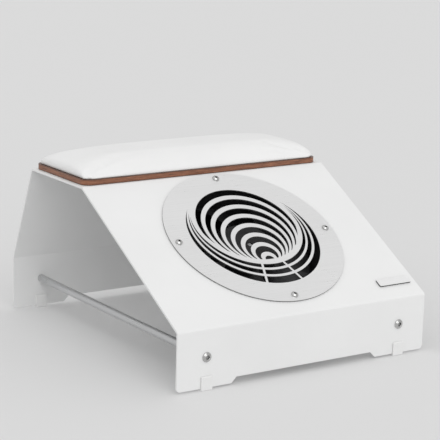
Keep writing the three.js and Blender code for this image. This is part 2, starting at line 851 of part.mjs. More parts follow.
function along(matrix, x, y, z) {
  return new THREE.Vector3(x, y, z).applyMatrix4(matrix).toArray();
}

// A saddle that holds a lead under a panel: its base is at z = 0 and the lead runs along Y below it.
function cableClip() {
  const halfLength = 3;
  const base = box([-6, -halfLength, -1.5], [6, halfLength, -gap]);
  const saddle = disc(4.3, -halfLength, halfLength, 12).rotateX(Math.PI / 2).translate(0, 0, -leadDepth);
  const channel = disc(leadRadius + 0.6, -5, 5, 12).rotateX(Math.PI / 2).translate(0, 0, -leadDepth);
  return cut(join(base, saddle), channel);
}

function fanLead() {
  const radial = (distance, z) =>
    along(slopeMatrix, distance * Math.cos(terminalAngle), distance * Math.sin(terminalAngle), z);
  const underTop = topHeight - sheet - leadDepth;
  const underBack = -sheet - leadDepth;
  return tube(
    [
      radial(terminalReach + 0.6, -28),
      radial(terminalReach + 7, -28),
      [clipX - 2, topClips[0] - 16, underTop - 3],
      [clipX, topClips[0] - 5, underTop],
      [clipX, topClips[0] + 5, underTop],
      [clipX, topClips[1] - 5, underTop],
      [clipX, topClips[1] + 5, underTop],
      along(backMatrix, switchX - clipX, backClipUp + 18, underBack - 3),
      along(backMatrix, switchX - clipX, backClipUp + 5, underBack),
      along(backMatrix, switchX - clipX, backClipUp - 5, underBack),
      along(backMatrix, -3, 22, -15),
      along(backMatrix, -3, 6, -26),
      along(backMatrix, -3, 0, -21),
      along(backMatrix, -3, 0, leadEnd),
    ],
    leadRadius,
    leadSides,
    44,
  );
}

function linkLead() {
  return tube(
    [
      [inletX, depth - 22.5, inletZ],
      [inletX, depth - 29, inletZ],
      [inletX - 1, depth - 37, inletZ + 12],
      [inletX - 3, depth - 38, inletZ + 30],
      along(backMatrix, 4, 0, -21),
      along(backMatrix, 4, 0, leadEnd),
    ],
    leadRadius,
    leadSides,
    18,
  );
}

function buildWiring() {
  const terminalBox = box([ductOuter + gap, -8, -36], [terminalReach, 8, -20]).rotateZ(terminalAngle);
  add(slope, "fan_terminal_box", terminalBox, blackPlastic);
  add(stand, "fan_lead", fanLead(), rubber);
  add(stand, "link_lead", linkLead(), rubber);
  topClips.forEach((y, i) => {
    add(stand, `cable_clip_top_${i + 1}`, cableClip(), whitePlastic, clipX, y, topHeight - sheet);
  });
  add(back, "cable_clip_back", cableClip(), whitePlastic, switchX - clipX, backClipUp, -sheet);
}

buildSheet();
buildRodsAndFeet();
buildArmrest();
buildGrille();
buildFan();
buildInlet();
buildSwitch();
buildWiring();

const group = new THREE.Group();
group.add(stand);
export default group;
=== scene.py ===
"""Looks of a table-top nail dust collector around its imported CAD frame.

Lengths are in millimetres and turned into metres as each mesh is made.
The sheet's own axes: X from its middle, Y from the outer face of its front skirt, Z from its lower edge.
"""

import json
import math

import bmesh
import bpy
from mathutils import Matrix, Vector, noise
from mathutils.geometry import tessellate_polygon


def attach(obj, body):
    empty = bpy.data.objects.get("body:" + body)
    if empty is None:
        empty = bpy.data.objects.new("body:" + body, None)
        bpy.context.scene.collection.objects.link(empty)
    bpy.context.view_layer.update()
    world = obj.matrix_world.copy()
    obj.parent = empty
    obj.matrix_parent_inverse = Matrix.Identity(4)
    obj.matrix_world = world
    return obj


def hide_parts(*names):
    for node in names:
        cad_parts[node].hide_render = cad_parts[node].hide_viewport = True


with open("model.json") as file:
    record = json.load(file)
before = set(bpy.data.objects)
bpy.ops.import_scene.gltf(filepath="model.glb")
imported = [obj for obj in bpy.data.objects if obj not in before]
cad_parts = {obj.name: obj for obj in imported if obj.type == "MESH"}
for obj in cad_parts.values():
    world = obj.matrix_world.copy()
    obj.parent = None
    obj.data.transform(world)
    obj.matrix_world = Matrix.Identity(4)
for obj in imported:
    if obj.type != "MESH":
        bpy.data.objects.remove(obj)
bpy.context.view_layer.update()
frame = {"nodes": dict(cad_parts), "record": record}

MM = 0.001

# The sheet, as in the CAD
WIDTH = 294
DEPTH = 328
TOP_HEIGHT = 160
TOP_FRONT_Y = 180
TOP_REAR_Y = 286
FRONT_SKIRT = 57.5
REAR_SKIRT = 56
SHEET = 2
BEND_RADIUS = 3.5
CORNER_RADIUS = 4
NOTCH_HALF = 86
NOTCH_HEIGHT = 5.7
FOOT_LIFT = 2.2
GAP = 0.3
ROD_X = 114.5
ROD_Z = 30
ROD_RADIUS = 4
ROD_BORE = 2.7
ROD_BORE_DEPTH = 16
ROD_SCREW_HOLE = 3.3

# The armrest
BOARD_THICKNESS = 5.5
BOARD_INSET = 4
BOARD_FRONT_Y = 182
BOARD_REAR_Y = 286
BOARD_CORNER = 10
CUSHION_INSET = 0.5
CUSHION_EDGE = 3
CUSHION_CROWN = 19.4
ARMREST_SCREW_X = 100
ARMREST_SCREW_Y = 30
ARMREST_SCREW_HOLE = 2.4

# The grille, square on
GRILLE_X = 2
GRILLE_UP = 110.5
GRILLE_TURN = math.radians(-2)
GRILLE_RADIUS = 95
GRILLE_THICKNESS = 1.2
NAMEPLATE_THICKNESS = 1.4
NAMEPLATE_HALF = (19.5, 4.6)
NAMEPLATE_PLACE = (118.5, -88.9)
GRILLE_SCREW_CIRCLE = 87
GRILLE_SCREW_HOLE = 2.4
RING_COUNT = 8
FIRST_RING = 54.9
RING_STEP = 3.56
RING_FOOT = -41.6
RING_OVERLAP = 0.7
CRADLE_RADIUS = 56
CRADLE_Y = 20.4
CRESCENTS = [(55, 45, -69.6, -60.3), (56, 40, -57.2, -50.6), (57, 35, -47.6, -42.4)]
BRIDGE_ANGLE = math.radians(17)
BRIDGE_WIDTH = 2.4

# The fan, along the slope's normal
AIR_RADIUS = 73
DUCT_OUTER = 76.5
FLANGE_RADIUS = 82
EAR_RADIUS = 8
FLANGE_TOP = -4.6
FLANGE_BOTTOM = -8.1
DUCT_BOTTOM = -52
STRUT_TOP = -48
MOTOR_BASE = 27
BLADES = 7
BLADE_TIP = 70.4
HUB_RADIUS = 31
HUB_TOP = -11
HUB_BOTTOM = -44
BEARING_RADIUS = 6.2
BEARING_TUBE = 8
BEARING_TUBE_TOP = -18

# The dust bag, as (radius, level) down its side to a seam, and from there to the middle of its base
BAG_SIDE = [(81.6, -43), (82.2, -48), (82.6, -54), (82.2, -60), (80, -65.5)]
BAG_SIDE += [(75.5, -71), (70, -76), (64.5, -80), (60, -82.8)]
BAG_BASE = [(59.6, -83.6), (50, -84.4), (36, -85), (18, -85.4), (0, -85.5)]
BAG_CLOTH = 0.8

# The rear electrics; each cut-out is its half width, half height and corner radius
INLET_X = 76
INLET_Z = 32
INLET_CUTOUT = (13.8, 10.3, 2)
INLET_SCREW_X = 20
INLET_SCREW_SEAT = 1.9
INLET_SCREW_HOLE = 1.8
SWITCH_X = 76
SWITCH_UP = 32
SWITCH_CUTOUT = (6.8, 9.8, 0.6)

# Dome-head screws: head radius and height, shank radius and length, socket radius
GRILLE_SCREW = (3.7, 2.3, 1.9, 14.5, 1.45)
ROD_SCREW = (4.9, 2.2, 2.4, 15, 2.3)
ARMREST_SCREW = (4, 2.4, 1.6, 7, 1.5)
INLET_SCREW = (2.8, 1.4, 1.4, 8.5, 1.2)
SCREW_CLEARANCE = 0.1

# --- places


def panel(origin, across, up):
    """The matrix of a panel's own axes: X across it, Y up it, Z out of its outer face."""
    out = across.cross(up)
    made = Matrix((across, up, out)).transposed().to_4x4()
    made.translation = origin
    return made


STAND = Matrix.Translation((0, -DEPTH / 2, FOOT_LIFT))
SLOPE_UP = Vector((0, TOP_FRONT_Y, TOP_HEIGHT - FRONT_SKIRT)).normalized()
SLOPE_MIDDLE = Vector((GRILLE_X, 0, FRONT_SKIRT)) + SLOPE_UP * GRILLE_UP
SLOPE = STAND @ panel(SLOPE_MIDDLE, Vector((1, 0, 0)), SLOPE_UP)
INLET = STAND @ panel(Vector((INLET_X, DEPTH, INLET_Z)), Vector((-1, 0, 0)), Vector((0, 0, 1)))
ARMREST_Y = (BOARD_FRONT_Y + BOARD_REAR_Y) / 2
SLOPE_OUT = (0, -SLOPE_UP.z, SLOPE_UP.y)
ARMREST = STAND @ Matrix.Translation((0, ARMREST_Y, TOP_HEIGHT + GAP))
ARMREST_SCREWS = [
    (x, y) for x in (-ARMREST_SCREW_X, ARMREST_SCREW_X) for y in (-ARMREST_SCREW_Y, ARMREST_SCREW_Y)
]

# --- outlines


def arc(centre, radius, start, end, steps):
    return [
        (
            centre[0] + radius * math.cos(start + (end - start) * i / steps),
            centre[1] + radius * math.sin(start + (end - start) * i / steps),
        )
        for i in range(steps + 1)
    ]


def circle(x, y, radius, steps=32):
    return arc((x, y), radius, 0, 2 * math.pi, steps)[:-1]


def rounded(corners, steps=6):
    """A closed outline through (x, y, radius) corners, each rounded by an arc."""
    points = []
    for i, (x, y, radius) in enumerate(corners):
        here = Vector((x, y))
        before = (Vector(corners[i - 1][:2]) - here).normalized()
        after = (Vector(corners[(i + 1) % len(corners)][:2]) - here).normalized()
        if radius == 0:
            points.append((x, y))
            continue
        half = before.angle(after) / 2
        centre = here + (before + after).normalized() * radius / math.sin(half)
        first = here + before * radius / math.tan(half) - centre
        last = here + after * radius / math.tan(half) - centre
        start = math.atan2(first.y, first.x)
        sweep = math.remainder(math.atan2(last.y, last.x) - start, 2 * math.pi)
        points += arc(centre, radius, start, start + sweep, steps)
    return points


def rectangle(half_x, half_y, radius, x=0, y=0, steps=6):
    signs = ((1, -1), (1, 1), (-1, 1), (-1, -1))
    return rounded([(x + i * half_x, y + j * half_y, radius) for i, j in signs], steps)


def turned_outline(points, angle):
    c, s = math.cos(angle), math.sin(angle)
    return [(x * c - y * s, x * s + y * c) for x, y in points]


GRILLE_SCREW_PLACES = turned_outline(circle(0, 0, GRILLE_SCREW_CIRCLE, 4), GRILLE_TURN)
GRILLE_SCREWS = dict(zip(("right", "top", "left", "bottom"), GRILLE_SCREW_PLACES))


# --- meshes


def slab(loops, bottom, top, rim=0.0, rim_loops=None, rim_steps=2):
    """A plate between two levels; the first loop is its outline and the others its holes."""
    made = bmesh.new()
    low, high, walls = [], [], []
    for loop in loops:
        first = len(low)
        low += [made.verts.new((x, y, bottom)) for x, y in loop]
        high += [made.verts.new((x, y, top)) for x, y in loop]
        walls.append([(first + i, first + (i + 1) % len(loop)) for i in range(len(loop))])
    for a, b, c in tessellate_polygon([[Vector((x, y, 0)) for x, y in loop] for loop in loops]):
        made.faces.new((high[a], high[b], high[c]))
        made.faces.new((low[c], low[b], low[a]))
    for pairs in walls:
        for a, b in pairs:
            made.faces.new((low[a], low[b], high[b], high[a]))
    bmesh.ops.recalc_face_normals(made, faces=made.faces)
    if rim:
        chosen = range(len(loops)) if rim_loops is None else rim_loops
        ends = [pair for i in chosen for pair in walls[i]]
        edges = [made.edges.get((side[a], side[b])) for side in (low, high) for a, b in ends]
        bmesh.ops.bevel(
            made, geom=edges, offset=rim, segments=rim_steps, profile=0.5, affect="EDGES", clamp_overlap=True
        )
    return made


def lathe(profile, sides=64, closed=False):
    """A body turned about Z from (radius, z) points; a point on the axis closes it there."""
    made = bmesh.new()
    rings = []
    for radius, z in profile:
        if radius < 1e-6:
            rings.append([made.verts.new((0, 0, z))])
        else:
            rings.append([made.verts.new((x, y, z)) for x, y in circle(0, 0, radius, sides)])
    pairs = list(zip(rings, rings[1:]))
    if closed:
        pairs.append((rings[-1], rings[0]))
    for a, b in pairs:
        bridge(made, a, b)
    bmesh.ops.recalc_face_normals(made, faces=made.faces)
    return made


def bridge(made, a, b):
    """Faces between two rings of as many points, or between a ring and one point."""
    count = max(len(a), len(b))
    for i in range(count):
        j = (i + 1) % count
        corners = [a[i % len(a)], a[j % len(a)], b[j % len(b)], b[i % len(b)]]
        made.faces.new(list(dict.fromkeys(corners)))


def box(low, high):
    made = bmesh.new()
    bmesh.ops.create_cube(made, size=1)
    for v in made.verts:
        for k in range(3):
            v.co[k] = low[k] if v.co[k] < 0 else high[k]
    return made


def moved(made, matrix):
    made.transform(matrix)
    return made


def placed(name, data):
    held = bpy.data.objects.new(name, data)
    bpy.context.scene.collection.objects.link(held)
    return held


def solid_object(made, name="form"):
    mesh = bpy.data.meshes.new(name)
    made.to_mesh(mesh)
    made.free()
    return placed(name, mesh)


def combined(operation, base, *tools):
    """The exact union of the meshes, or the first one less the others."""
    held = solid_object(base)
    others = [solid_object(tool) for tool in tools]
    for other in others:
        step = held.modifiers.new("step", "BOOLEAN")
        step.operation, step.solver, step.object = operation, "EXACT", other
    bpy.context.view_layer.update()
    evaluated = held.evaluated_get(bpy.context.evaluated_depsgraph_get())
    made = bmesh.new()
    made.from_mesh(evaluated.to_mesh())
    evaluated.to_mesh_clear()
    for gone in (held, *others):
        bpy.data.meshes.remove(gone.data)
    bmesh.ops.remove_doubles(made, verts=made.verts, dist=1e-4)
    return made


def piece(name, made, matrix, slot, stands_for, body="frame", sharp=35):
    """A finished piece of the object: its mesh, in metres and in place, with its finish."""
    made.transform(Matrix.Scale(MM, 4) @ matrix)
    for face in made.faces:
        face.smooth = True
    for edge in made.edges:
        edge.smooth = not (len(edge.link_faces) == 2 and edge.calc_face_angle(0) > math.radians(sharp))
    held = solid_object(made, name)
    weighted = held.modifiers.new("normals", "WEIGHTED_NORMAL")
    weighted.keep_sharp = True
    held.data.materials.append(MATERIALS[slot])
    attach(held, body)
    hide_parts(*stands_for)
    return held


# --- materials


NOISE_SPAN = (0.3, 0.7)


class Finish:
    """A node material under construction, on the object's own coordinates in metres."""

    def __init__(self, name, color, roughness, metallic=0.0, specular=0.5):
        self.material = bpy.data.materials.new(name)
        self.material.use_nodes = True
        self.tree = self.material.node_tree
        self.shader = self.tree.nodes["Principled BSDF"]
        self.set(Base_Color=(*color, 1), Roughness=roughness, Metallic=metallic)
        self.set(IOR=1.5, Specular_IOR_Level=specular)
        self.place = self.node("ShaderNodeTexCoord").outputs["Object"]

    def node(self, kind, sockets=(), **settings):
        """A node with its settings and the values of its unlinked sockets."""
        made = self.tree.nodes.new(kind)
        for key, value in settings.items():
            setattr(made, key, value)
        for key, value in dict(sockets).items():
            made.inputs[key].default_value = value
        return made

    def link(self, a, b):
        self.tree.links.new(a, b)

    def scaled(self, scale):
        three = scale if hasattr(scale, "__len__") else (scale,) * 3
        mapping = self.node("ShaderNodeMapping", {"Scale": three})
        self.link(self.place, mapping.inputs["Vector"])
        return mapping.outputs["Vector"]

    def noise(self, scale, detail=3.0, roughness=0.55):
        made = self.node("ShaderNodeTexNoise", {"Scale": 1, "Detail": detail, "Roughness": roughness})
        self.link(self.scaled(scale), made.inputs["Vector"])
        return made.outputs["Fac"]

    def cells(self, scale, feature="F1"):
        made = self.node("ShaderNodeTexVoronoi", {"Scale": 1}, feature=feature)
        self.link(self.scaled(scale), made.inputs["Vector"])
        return made.outputs["Distance"]

    def waves(self, scale, direction, distortion=0.0, vector=None):
        sockets = {"Scale": 1, "Distortion": distortion}
        made = self.node("ShaderNodeTexWave", sockets, wave_type="BANDS", bands_direction=direction)
        self.link(vector or self.scaled(scale), made.inputs["Vector"])
        return made.outputs["Fac"]

    def ramp(self, value, stops):
        made = self.node("ShaderNodeValToRGB")
        elements = made.color_ramp.elements
        while len(elements) < len(stops):
            elements.new(0.5)
        for element, (at, color) in zip(elements, stops):
            element.position = at
            element.color = (*color, 1)
        self.link(value, made.inputs["Fac"])
        return made.outputs["Color"]

    def spread(self, value, low, high, from_low=0.0, from_high=1.0):
        sockets = {"From Min": from_low, "From Max": from_high, "To Min": low, "To Max": high}
        made = self.node("ShaderNodeMapRange", sockets)
        self.link(value, made.inputs["Value"])
        return made.outputs["Result"]

    def worn(self, value, low, high):
        """A noise's usual span, spread from a low to a high value."""
        return self.spread(value, low, high, *NOISE_SPAN)

    def mottled(self, value, base, low, high):
        """A base colour, darker and lighter with a noise."""
        return self.ramp(value, [(NOISE_SPAN[0], shade(base, low)), (NOISE_SPAN[1], shade(base, high))])

    def blend(self, a, share, b):
        """Two values added, the first with this share and the second with the rest."""
        return self.math("ADD", self.math("MULTIPLY", a, share), self.math("MULTIPLY", b, 1 - share))

    def math(self, operation, a, b):
        made = self.node("ShaderNodeMath", operation=operation)
        for socket, value in zip(made.inputs, (a, b)):
            if isinstance(value, (int, float)):
                socket.default_value = value
            else:
                self.link(value, socket)
        return made.outputs["Value"]

    def mix(self, share, a, b):
        made = self.node("ShaderNodeMix", data_type="RGBA")
        for socket, value in zip((made.inputs[0], made.inputs[6], made.inputs[7]), (share, a, b)):
            if isinstance(value, (int, float)):
                socket.default_value = value
            elif isinstance(value, tuple):
                socket.default_value = (*value, 1)
            else:
                self.link(value, socket)
        return made.outputs[2]

    def walls(self, out):
        """1 on faces that lie across a direction, such as a plate's cut edges, and 0 on its flat faces; it
        masks painted shade on those edges.
        """
        facing = self.node("ShaderNodeVectorMath", {1: out}, operation="DOT_PRODUCT")
        self.link(self.node("ShaderNodeNewGeometry").outputs["True Normal"], facing.inputs[0])
        flat = self.node("ShaderNodeMath", operation="ABSOLUTE")
        self.link(facing.outputs["Value"], flat.inputs[0])
        return self.spread(flat.outputs["Value"], 1.0, 0.0, 0.55, 0.8)

    def crevice_shade(self, reach_mm):
        """1 in sockets and sharp corners, 0 in the open: an ambient-occlusion mask for painted shade."""
        reach = {"Distance": reach_mm * MM}
        made = self.node("ShaderNodeAmbientOcclusion", reach, samples=8, only_local=True)
        return self.spread(made.outputs["AO"], 1.0, 0.0, 0.4, 0.97)

    def color(self, value):
        self.link(value, self.shader.inputs["Base Color"])

    def roughness(self, value):
        self.link(value, self.shader.inputs["Roughness"])

    def bump(self, *layers):
        """Layers of (height, depth in mm), one over the other."""
        below = None
        for height, depth_mm in layers:
            made = self.node("ShaderNodeBump", {"Strength": 1, "Distance": depth_mm * MM})
            self.link(height, made.inputs["Height"])
            if below:
                self.link(below, made.inputs["Normal"])
            below = made.outputs["Normal"]
        self.link(below, self.shader.inputs["Normal"])

    def set(self, **values):
        for key, value in values.items():
            self.shader.inputs[key.replace("_", " ")].default_value = value
        return self


def shade(color, factor):
    return tuple(c * factor for c in color)


def powder_coat():
    base = (0.838, 0.84, 0.838)
    made = Finish("powder_coat", base, 0.42)
    peel = made.noise(900, 2.0)
    cloud = made.noise(9, 3.0)
    made.color(made.mottled(cloud, base, 0.975, 1.015))
    made.roughness(made.worn(made.noise(260, 3.0), 0.36, 0.5))
    made.bump((peel, 0.012), (made.noise(2600, 1.0), 0.003))
    return made.material


def brushed_steel():
    base = (0.885, 0.885, 0.885)
    made = Finish("brushed_steel", base, 0.36, metallic=0.72)
    fine = made.noise((30, 4200, 4200), 3.0, 0.7)
    broad = made.noise((9, 900, 900), 2.0, 0.6)
    cloud = made.noise(25, 2.0)
    tone = made.blend(fine, 0.6, broad)
    brushed = made.ramp(tone, [(0.32, shade(base, 0.94)), (0.68, shade(base, 1.03))])
    # painted shade: the grille's cut edges are darkened to 0.3 of the steel, for the shadow along its rim
    made.color(made.mix(made.walls(SLOPE_OUT), brushed, shade(base, 0.3)))
    made.roughness(made.math("ADD", made.worn(fine, 0.28, 0.4), made.worn(cloud, -0.03, 0.03)))
    made.bump((fine, 0.003))
    return made.set(Anisotropic=0.5).material


def satin_aluminium():
    base = (0.93, 0.93, 0.93)
    made = Finish("satin_aluminium", base, 0.4, metallic=0.5)
    grain = made.noise((3800, 60, 3800), 3.0, 0.6)
    satin = made.mottled(grain, base, 0.95, 1.02)
    # painted shade: the nameplate's cut edges are darkened nearly to black, for the shadow along its rim
    made.color(made.mix(made.walls(SLOPE_OUT), satin, shade(base, 0.08)))
    made.roughness(made.worn(grain, 0.36, 0.46))
    made.bump((grain, 0.003))
    return made.material


def rod_steel():
    base = (0.62, 0.625, 0.63)
    made = Finish("rod_steel", base, 0.27, metallic=1.0)
    drawn = made.noise((3200, 14, 3200), 3.0, 0.65)
    smudge = made.noise(45, 3.0)
    made.color(made.mottled(drawn, base, 0.94, 1.03))
    made.roughness(made.math("ADD", made.worn(drawn, 0.26, 0.32), made.worn(smudge, -0.02, 0.04)))
    made.bump((drawn, 0.0008))
    return made.material


def screw_steel():
    base = (0.54, 0.54, 0.535)
    made = Finish("screw_steel", base, 0.2, metallic=1.0)
    smudge = made.noise(420, 3.0)
    bright = made.mottled(made.noise(150, 2.0), base, 0.93, 1.05)
    # painted shade: the hex socket and the head's inner corners are darkened nearly to black where ambient
    # occlusion is high
    made.color(made.mix(made.crevice_shade(2.2), bright, shade(base, 0.03)))
    made.roughness(made.worn(smudge, 0.1, 0.26))
    made.bump((made.noise(2200, 2.0), 0.002))
    return made.material


def white_plastic():
    base = (0.83, 0.83, 0.826)
    made = Finish("white_plastic", base, 0.4)
    made.color(made.mottled(made.noise(60, 2.0), base, 0.96, 1.02))
    made.roughness(made.worn(made.noise(700, 2.0), 0.34, 0.5))
    made.bump((made.noise(1500, 2.0), 0.006))
    return made.material


def stained_wood():
    dark, middle, light = (0.085, 0.03, 0.014), (0.235, 0.093, 0.047), (0.4, 0.175, 0.095)
    made = Finish("stained_wood", middle, 0.42)
    figure = made.noise((45, 60, 620), 4.0, 0.62)
    pores = made.noise((190, 240, 2000), 3.0, 0.7)
    tone = made.blend(figure, 0.62, pores)
    wood = made.ramp(tone, [(0.36, dark), (0.47, middle), (0.53, shade(middle, 1.12)), (0.66, light)])
    # painted shade: the board's edge band is darkened at its top and bottom, where the gaps to the cushion
    # and the sheet are
    sides = made.node("ShaderNodeSeparateXYZ")
    made.link(made.place, sides.inputs["Vector"])
    low = (FOOT_LIFT + TOP_HEIGHT + GAP) * MM
    level = made.spread(sides.outputs["Z"], 0.0, 1.0, low, low + BOARD_THICKNESS * MM)
    edges = [(0.0, 1), (0.1, 0.45), (0.22, 0), (0.8, 0), (0.9, 0.4), (1.0, 1)]
    board_edge_shade = made.ramp(level, [(at, (share,) * 3) for at, share in edges])
    made.color(made.mix(made.math("MULTIPLY", board_edge_shade, 0.75), wood, (0.05, 0.02, 0.011)))
    made.roughness(made.worn(pores, 0.34, 0.55))
    made.bump((figure, 0.03), (pores, 0.035))
    return made.set(Coat_Weight=0.15, Coat_Roughness=0.25).material


def white_leather():
    base = (0.86, 0.86, 0.857)
    made = Finish("white_leather", base, 0.5)
    pebbles = made.cells(720, "SMOOTH_F1")
    creases = made.cells(240, "DISTANCE_TO_EDGE")
    soft = made.noise(14, 3.0)
    made.color(made.mottled(soft, base, 0.975, 1.015))
    made.roughness(made.spread(pebbles, 0.42, 0.6, 0.1, 0.7))
    furrows = made.spread(creases, 0.0, 1.0, 0.0, 0.12)
    made.bump((furrows, 0.02), (pebbles, 0.03), (made.noise(2600, 2.0), 0.006))
    return made.set(Sheen_Weight=0.08, Sheen_Roughness=0.5).material


def moulded(name, base, low, high, grain_mm=0.008):
    made = Finish(name, base, (low + high) / 2)
    made.color(made.mottled(made.noise(40, 3.0), base, 0.8, 1.25))
    made.roughness(made.worn(made.noise(500, 3.0), low, high))
    made.bump((made.noise(1900, 2.0), grain_mm))
    return made.material


def foam():
    base = (0.02, 0.02, 0.021)
    made = Finish("foam", base, 0.95)
    pores = made.cells(900)
    made.color(made.ramp(pores, [(0.1, shade(base, 0.4)), (0.6, shade(base, 1.5))]))
    made.bump((pores, 0.12))
    return made.material


def copper():
    base = (0.5, 0.2, 0.09)
    made = Finish("copper", base, 0.3, metallic=0.9)
    turns = made.waves((2200, 2200, 2200), "Z", 1.5)
    made.color(made.ramp(turns, [(0.1, shade(base, 0.35)), (0.6, base)]))
    made.roughness(made.spread(turns, 0.4, 0.25))
    made.bump((turns, 0.08))
    return made.material


def brass():
    base = (0.6, 0.43, 0.17)
    made = Finish("brass", base, 0.28, metallic=1.0)
    made.color(made.mottled(made.noise(300, 3.0), base, 0.85, 1.08))
    made.roughness(made.worn(made.noise(900, 2.0), 0.22, 0.36))
    made.bump((made.noise(1800, 2.0), 0.003))
    return made.material


def bag_cloth():
    """A plain weave that follows the bag, on its UV lengths in millimetres."""
    base = (0.14, 0.145, 0.15)
    made = Finish("bag_cloth", base, 0.85)
    threads = made.node("ShaderNodeMapping", {"Scale": (0.45, 0.45, 1)})
    made.link(made.node("ShaderNodeUVMap").outputs["UV"], threads.inputs["Vector"])
    warp = made.waves(1, "X", 0.0, threads.outputs["Vector"])
    weft = made.waves(1, "Y", 0.0, threads.outputs["Vector"])
    weave = made.math("MAXIMUM", warp, weft)
    fibre = made.noise(2200, 2.0)
    tone = made.blend(weave, 0.6, fibre)
    made.color(made.ramp(tone, [(0.25, shade(base, 0.45)), (0.85, shade(base, 1.35))]))
    made.roughness(made.worn(fibre, 0.75, 0.95))
    made.bump((weave, 0.08), (fibre, 0.02))
    return made.set(Sheen_Weight=0.25, Sheen_Roughness=0.6).material


FINISHES = (powder_coat, brushed_steel, satin_aluminium, rod_steel, screw_steel, white_plastic)
FINISHES += (stained_wood, white_leather, foam, copper, brass, bag_cloth)
MATERIALS = {finish.__name__: finish() for finish in FINISHES}
MATERIALS["black_plastic"] = moulded("black_plastic", (0.016, 0.016, 0.017), 0.36, 0.52)
MATERIALS["black_rubber"] = moulded("black_rubber", (0.018, 0.018, 0.019), 0.6, 0.8, 0.012)

# --- carried-over nodes


def carried_over():
    """The CAD nodes that stay get their finish, softened edges and smooth curves."""
    for row in frame["record"]["subparts"]:
        held = frame["nodes"][row["node"]]
        held.data.materials.clear()
        held.data.materials.append(MATERIALS[row["material_slot"]])
        weld = held.modifiers.new("weld", "WELD")
        weld.merge_threshold = 0.002 * MM
        soften = held.modifiers.new("soften", "BEVEL")
        soften.width, soften.segments = 0.25 * MM, 2
        soften.limit_method, soften.angle_limit = "ANGLE", math.radians(40)
        soften.use_clamp_overlap = True
        for polygon in held.data.polygons:
            polygon.use_smooth = True
        held.data.set_sharp_from_angle(angle=math.radians(40))
        weighted = held.modifiers.new("normals", "WEIGHTED_NORMAL")
        weighted.keep_sharp = True


# --- the bent sheet

SIDE_VIEW = [(0, 0), (0, FRONT_SKIRT), (TOP_FRONT_Y, TOP_HEIGHT)]
SIDE_VIEW += [(TOP_REAR_Y, TOP_HEIGHT), (DEPTH, REAR_SKIRT), (DEPTH, 0)]
CORNERS = [Vector(corner) for corner in SIDE_VIEW]


def fold_line():
    """The sheet's outer face as flats and bends: (start, length, point, heading, turn) of each."""
    stretches = []
    so_far = 0
    tangents = [0]
    turns = []
    for before, corner, after in zip(CORNERS, CORNERS[1:], CORNERS[2:]):
        turn = (corner - before).angle(after - corner)
        turns.append(turn)
        tangents.append(BEND_RADIUS * math.tan(turn / 2))
    tangents.append(0)
    for i, (a, b) in enumerate(zip(CORNERS, CORNERS[1:])):
        heading = math.atan2((b - a).y, (b - a).x)
        along = (b - a).normalized()
        length = (b - a).length - tangents[i] - tangents[i + 1]
        stretches.append((so_far, length, a + along * tangents[i], heading, 0))
        so_far += length
        if i < len(turns):
            bend = BEND_RADIUS * turns[i]
            stretches.append((so_far, bend, b - along * tangents[i + 1], heading, turns[i]))
            so_far += bend
    return stretches, so_far, tangents


STRETCHES, FLAT_LENGTH, TANGENTS = fold_line()


def toward(angle):
    return Vector((math.cos(angle), math.sin(angle)))


def folded(x, s, level):
    """Where a point of the flat sheet goes: s along its outer face, level out of that face."""
    for start, length, point, heading, turn in STRETCHES:
        if s <= start + length + 1e-6:
            break
    along = s - start
    out = heading + math.pi / 2
    if turn == 0:
        here = point + toward(heading) * along
    else:
        centre = point - toward(out) * BEND_RADIUS
        out -= along / BEND_RADIUS
        here = centre + toward(out) * BEND_RADIUS
    here = here + toward(out) * level
    return Vector((x, here.x, here.y))


def on_flat(index, distance):
    """The distance along the sheet of a point on one flat, measured from the flat's first sharp corner."""
    return STRETCHES[2 * index][0] + distance - TANGENTS[index]


def sheet_loops():
    half = WIDTH / 2
    step = NOTCH_HALF - NOTCH_HEIGHT
    soft = 1.5
    front = [(-half, 0, CORNER_RADIUS), (-NOTCH_HALF, 0, soft), (-step, NOTCH_HEIGHT, soft)]
    front += [(-x, y, radius) for x, y, radius in reversed(front)]
    rear = [(-x, FLAT_LENGTH - y, radius) for x, y, radius in front]
    outline = rounded(front + rear, 8)
    grille_s = on_flat(1, GRILLE_UP)
    holes = [circle(GRILLE_X, grille_s, AIR_RADIUS, 128)]
    holes += [circle(GRILLE_X + x, grille_s + y, GRILLE_SCREW_HOLE, 24) for x, y in GRILLE_SCREWS.values()]
    middle = on_flat(2, (TOP_REAR_Y - TOP_FRONT_Y) / 2)
    holes += [circle(x, middle + y, ARMREST_SCREW_HOLE, 24) for x, y in ARMREST_SCREWS]
    back_length = (CORNERS[4] - CORNERS[3]).length
    holes.append(rectangle(*SWITCH_CUTOUT, SWITCH_X, on_flat(3, back_length - SWITCH_UP)))
    inlet_s = FLAT_LENGTH - INLET_Z
    holes.append(rectangle(*INLET_CUTOUT, INLET_X, inlet_s))
    holes += [circle(INLET_X + x, inlet_s, INLET_SCREW_HOLE, 20) for x in (-INLET_SCREW_X, INLET_SCREW_X)]
    holes += [circle(x, s, ROD_SCREW_HOLE, 32) for x in (-ROD_X, ROD_X) for s in (ROD_Z, FLAT_LENGTH - ROD_Z)]
    return [outline, *holes]


def bent_sheet():
    made = slab(sheet_loops(), -SHEET, 0, rim=0.35, rim_steps=3)
    bend_steps = 10
    bends = [(start, length) for start, length, _, _, turn in STRETCHES if turn]
    cuts = [start + length * i / bend_steps for start, length in bends for i in range(bend_steps + 1)]
    for s in cuts:
        everything = made.verts[:] + made.edges[:] + made.faces[:]
        bmesh.ops.bisect_plane(made, geom=everything, dist=1e-5, plane_co=(0, s, 0), plane_no=(0, 1, 0))
    for vertex in made.verts:
        vertex.co = folded(*vertex.co)
    bmesh.ops.dissolve_limit(made, angle_limit=math.radians(0.05), verts=made.verts, edges=made.edges)
    piece("sheet_panel", made, STAND, "powder_coat", ["body_shell"])


# --- the grille


